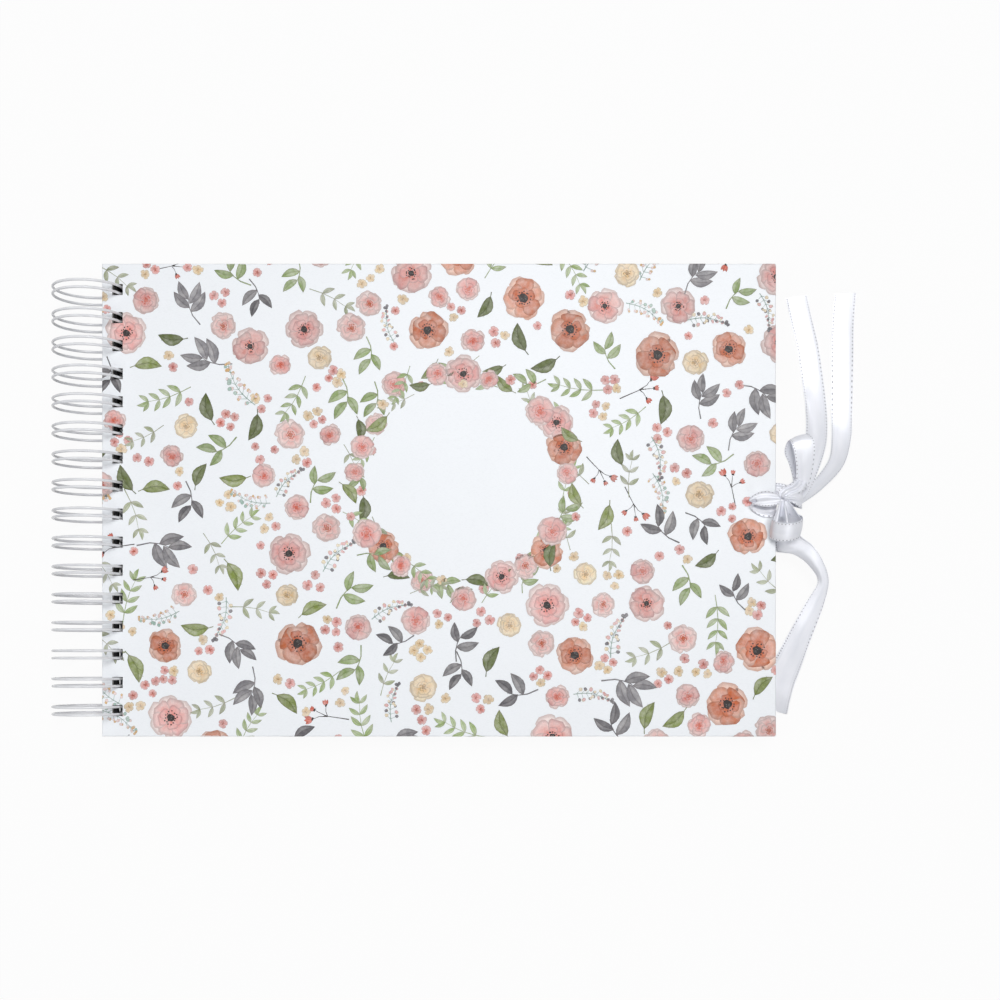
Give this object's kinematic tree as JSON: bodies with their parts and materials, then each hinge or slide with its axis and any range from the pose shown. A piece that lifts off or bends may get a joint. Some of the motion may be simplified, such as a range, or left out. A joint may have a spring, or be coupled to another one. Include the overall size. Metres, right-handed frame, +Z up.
{
  "type": "scrapbook album",
  "caption": "Landscape scrapbook album with printed hard covers, black card leaves on a white twin-loop wire, and a satin ribbon tied in a bow at the fore-edge.",
  "frame": {"origin": "on the table, under the middle of the back cover; the album lies closed and rests on its wire and on the back cover's fore-edge", "axes": "+X from the wire to the fore-edge, +Y from the tail to the head of the covers, +Z up from the table"},
  "size_m": [0.3687, 0.214, 0.0328],
  "materials": {
    "printed_paper": "matte",
    "lining_paper": "matte",
    "greyboard": "matte",
    "black_card": "matte",
    "coated_wire": "gloss",
    "satin_ribbon": "satin"
  },
  "bodies": {
    "back_cover": {"back_board": "greyboard", "back_wrap": "printed_paper", "back_liner": "lining_paper", "twin_loop_wire": "coated_wire", "back_ribbon": "satin_ribbon"},
    "leaf_01": {"leaf_01": "black_card"},
    "leaf_02": {"leaf_02": "black_card"},
    "leaf_03": {"leaf_03": "black_card"},
    "leaf_04": {"leaf_04": "black_card"},
    "leaf_05": {"leaf_05": "black_card"},
    "leaf_06": {"leaf_06": "black_card"},
    "leaf_07": {"leaf_07": "black_card"},
    "leaf_08": {"leaf_08": "black_card"},
    "leaf_09": {"leaf_09": "black_card"},
    "leaf_10": {"leaf_10": "black_card"},
    "leaf_11": {"leaf_11": "black_card"},
    "leaf_12": {"leaf_12": "black_card"},
    "leaf_13": {"leaf_13": "black_card"},
    "leaf_14": {"leaf_14": "black_card"},
    "leaf_15": {"leaf_15": "black_card"},
    "leaf_16": {"leaf_16": "black_card"},
    "leaf_17": {"leaf_17": "black_card"},
    "leaf_18": {"leaf_18": "black_card"},
    "leaf_19": {"leaf_19": "black_card"},
    "leaf_20": {"leaf_20": "black_card"},
    "leaf_21": {"leaf_21": "black_card"},
    "leaf_22": {"leaf_22": "black_card"},
    "leaf_23": {"leaf_23": "black_card"},
    "leaf_24": {"leaf_24": "black_card"},
    "leaf_25": {"leaf_25": "black_card"},
    "leaf_26": {"leaf_26": "black_card"},
    "leaf_27": {"leaf_27": "black_card"},
    "leaf_28": {"leaf_28": "black_card"},
    "leaf_29": {"leaf_29": "black_card"},
    "leaf_30": {"leaf_30": "black_card"},
    "front_cover": {"front_board": "greyboard", "front_wrap": "printed_paper", "front_liner": "lining_paper", "front_ribbon": "satin_ribbon", "bow_knot": "satin_ribbon", "bow_side_loop": "satin_ribbon", "bow_top_loop": "satin_ribbon", "bow_inner_tail": "satin_ribbon", "bow_outer_tail": "satin_ribbon"}
  },
  "joints": [
    {"name": "leaf_01_turn", "type": "hinge", "parent": "back_cover", "child": "leaf_01", "pos_m": [-0.15593, 0, 0.0164], "axis": [0, -1, 0], "range_deg": [0, 78]},
    {"name": "leaf_02_turn", "type": "hinge", "parent": "back_cover", "child": "leaf_02", "pos_m": [-0.15593, 0, 0.0164], "axis": [0, -1, 0], "range_deg": [0, 75.41]},
    {"name": "leaf_03_turn", "type": "hinge", "parent": "back_cover", "child": "leaf_03", "pos_m": [-0.15593, 0, 0.0164], "axis": [0, -1, 0], "range_deg": [0, 72.81]},
    {"name": "leaf_04_turn", "type": "hinge", "parent": "back_cover", "child": "leaf_04", "pos_m": [-0.15593, 0, 0.0164], "axis": [0, -1, 0], "range_deg": [0, 70.21]},
    {"name": "leaf_05_turn", "type": "hinge", "parent": "back_cover", "child": "leaf_05", "pos_m": [-0.15593, 0, 0.0164], "axis": [0, -1, 0], "range_deg": [0, 67.61]},
    {"name": "leaf_06_turn", "type": "hinge", "parent": "back_cover", "child": "leaf_06", "pos_m": [-0.15593, 0, 0.0164], "axis": [0, -1, 0], "range_deg": [0, 65.01]},
    {"name": "leaf_07_turn", "type": "hinge", "parent": "back_cover", "child": "leaf_07", "pos_m": [-0.15593, 0, 0.0164], "axis": [0, -1, 0], "range_deg": [0, 62.41]},
    {"name": "leaf_08_turn", "type": "hinge", "parent": "back_cover", "child": "leaf_08", "pos_m": [-0.15593, 0, 0.0164], "axis": [0, -1, 0], "range_deg": [0, 59.81]},
    {"name": "leaf_09_turn", "type": "hinge", "parent": "back_cover", "child": "leaf_09", "pos_m": [-0.15593, 0, 0.0164], "axis": [0, -1, 0], "range_deg": [0, 57.21]},
    {"name": "leaf_10_turn", "type": "hinge", "parent": "back_cover", "child": "leaf_10", "pos_m": [-0.15593, 0, 0.0164], "axis": [0, -1, 0], "range_deg": [0, 54.61]},
    {"name": "leaf_11_turn", "type": "hinge", "parent": "back_cover", "child": "leaf_11", "pos_m": [-0.15593, 0, 0.0164], "axis": [0, -1, 0], "range_deg": [0, 52.01]},
    {"name": "leaf_12_turn", "type": "hinge", "parent": "back_cover", "child": "leaf_12", "pos_m": [-0.15593, 0, 0.0164], "axis": [0, -1, 0], "range_deg": [0, 49.41]},
    {"name": "leaf_13_turn", "type": "hinge", "parent": "back_cover", "child": "leaf_13", "pos_m": [-0.15593, 0, 0.0164], "axis": [0, -1, 0], "range_deg": [0, 46.81]},
    {"name": "leaf_14_turn", "type": "hinge", "parent": "back_cover", "child": "leaf_14", "pos_m": [-0.15593, 0, 0.0164], "axis": [0, -1, 0], "range_deg": [0, 44.21]},
    {"name": "leaf_15_turn", "type": "hinge", "parent": "back_cover", "child": "leaf_15", "pos_m": [-0.15593, 0, 0.0164], "axis": [0, -1, 0], "range_deg": [0, 41.61]},
    {"name": "leaf_16_turn", "type": "hinge", "parent": "back_cover", "child": "leaf_16", "pos_m": [-0.15593, 0, 0.0164], "axis": [0, -1, 0], "range_deg": [0, 39.01]},
    {"name": "leaf_17_turn", "type": "hinge", "parent": "back_cover", "child": "leaf_17", "pos_m": [-0.15593, 0, 0.0164], "axis": [0, -1, 0], "range_deg": [0, 36.41]},
    {"name": "leaf_18_turn", "type": "hinge", "parent": "back_cover", "child": "leaf_18", "pos_m": [-0.15593, 0, 0.0164], "axis": [0, -1, 0], "range_deg": [0, 33.81]},
    {"name": "leaf_19_turn", "type": "hinge", "parent": "back_cover", "child": "leaf_19", "pos_m": [-0.15593, 0, 0.0164], "axis": [0, -1, 0], "range_deg": [0, 31.21]},
    {"name": "leaf_20_turn", "type": "hinge", "parent": "back_cover", "child": "leaf_20", "pos_m": [-0.15593, 0, 0.0164], "axis": [0, -1, 0], "range_deg": [0, 28.61]},
    {"name": "leaf_21_turn", "type": "hinge", "parent": "back_cover", "child": "leaf_21", "pos_m": [-0.15593, 0, 0.0164], "axis": [0, -1, 0], "range_deg": [0, 26.01]},
    {"name": "leaf_22_turn", "type": "hinge", "parent": "back_cover", "child": "leaf_22", "pos_m": [-0.15593, 0, 0.0164], "axis": [0, -1, 0], "range_deg": [0, 23.41]},
    {"name": "leaf_23_turn", "type": "hinge", "parent": "back_cover", "child": "leaf_23", "pos_m": [-0.15593, 0, 0.0164], "axis": [0, -1, 0], "range_deg": [0, 20.81]},
    {"name": "leaf_24_turn", "type": "hinge", "parent": "back_cover", "child": "leaf_24", "pos_m": [-0.15593, 0, 0.0164], "axis": [0, -1, 0], "range_deg": [0, 18.21]},
    {"name": "leaf_25_turn", "type": "hinge", "parent": "back_cover", "child": "leaf_25", "pos_m": [-0.15593, 0, 0.0164], "axis": [0, -1, 0], "range_deg": [0, 15.61]},
    {"name": "leaf_26_turn", "type": "hinge", "parent": "back_cover", "child": "leaf_26", "pos_m": [-0.15593, 0, 0.0164], "axis": [0, -1, 0], "range_deg": [0, 13.01]},
    {"name": "leaf_27_turn", "type": "hinge", "parent": "back_cover", "child": "leaf_27", "pos_m": [-0.15593, 0, 0.0164], "axis": [0, -1, 0], "range_deg": [0, 10.41]},
    {"name": "leaf_28_turn", "type": "hinge", "parent": "back_cover", "child": "leaf_28", "pos_m": [-0.15593, 0, 0.0164], "axis": [0, -1, 0], "range_deg": [0, 7.81]},
    {"name": "leaf_29_turn", "type": "hinge", "parent": "back_cover", "child": "leaf_29", "pos_m": [-0.15593, 0, 0.0164], "axis": [0, -1, 0], "range_deg": [0, 5.21]},
    {"name": "leaf_30_turn", "type": "hinge", "parent": "back_cover", "child": "leaf_30", "pos_m": [-0.15593, 0, 0.0164], "axis": [0, -1, 0], "range_deg": [0, 2.61]},
    {"name": "front_cover_turn", "type": "hinge", "parent": "leaf_01", "child": "front_cover", "pos_m": [-0.15593, 0, 0.0164], "axis": [0, -1, 0], "range_deg": [0, 180]}
  ],
  "couplings": [
    {"joint": "leaf_02_turn", "follows": "leaf_01_turn", "ratio": 0.96667},
    {"joint": "leaf_03_turn", "follows": "leaf_01_turn", "ratio": 0.93333},
    {"joint": "leaf_04_turn", "follows": "leaf_01_turn", "ratio": 0.9},
    {"joint": "leaf_05_turn", "follows": "leaf_01_turn", "ratio": 0.86667},
    {"joint": "leaf_06_turn", "follows": "leaf_01_turn", "ratio": 0.83333},
    {"joint": "leaf_07_turn", "follows": "leaf_01_turn", "ratio": 0.8},
    {"joint": "leaf_08_turn", "follows": "leaf_01_turn", "ratio": 0.76667},
    {"joint": "leaf_09_turn", "follows": "leaf_01_turn", "ratio": 0.73333},
    {"joint": "leaf_10_turn", "follows": "leaf_01_turn", "ratio": 0.7},
    {"joint": "leaf_11_turn", "follows": "leaf_01_turn", "ratio": 0.66667},
    {"joint": "leaf_12_turn", "follows": "leaf_01_turn", "ratio": 0.63333},
    {"joint": "leaf_13_turn", "follows": "leaf_01_turn", "ratio": 0.6},
    {"joint": "leaf_14_turn", "follows": "leaf_01_turn", "ratio": 0.56667},
    {"joint": "leaf_15_turn", "follows": "leaf_01_turn", "ratio": 0.53333},
    {"joint": "leaf_16_turn", "follows": "leaf_01_turn", "ratio": 0.5},
    {"joint": "leaf_17_turn", "follows": "leaf_01_turn", "ratio": 0.46667},
    {"joint": "leaf_18_turn", "follows": "leaf_01_turn", "ratio": 0.43333},
    {"joint": "leaf_19_turn", "follows": "leaf_01_turn", "ratio": 0.4},
    {"joint": "leaf_20_turn", "follows": "leaf_01_turn", "ratio": 0.36667},
    {"joint": "leaf_21_turn", "follows": "leaf_01_turn", "ratio": 0.33333},
    {"joint": "leaf_22_turn", "follows": "leaf_01_turn", "ratio": 0.3},
    {"joint": "leaf_23_turn", "follows": "leaf_01_turn", "ratio": 0.26667},
    {"joint": "leaf_24_turn", "follows": "leaf_01_turn", "ratio": 0.23333},
    {"joint": "leaf_25_turn", "follows": "leaf_01_turn", "ratio": 0.2},
    {"joint": "leaf_26_turn", "follows": "leaf_01_turn", "ratio": 0.16667},
    {"joint": "leaf_27_turn", "follows": "leaf_01_turn", "ratio": 0.13333},
    {"joint": "leaf_28_turn", "follows": "leaf_01_turn", "ratio": 0.1},
    {"joint": "leaf_29_turn", "follows": "leaf_01_turn", "ratio": 0.066667},
    {"joint": "leaf_30_turn", "follows": "leaf_01_turn", "ratio": 0.033333}
  ]
}
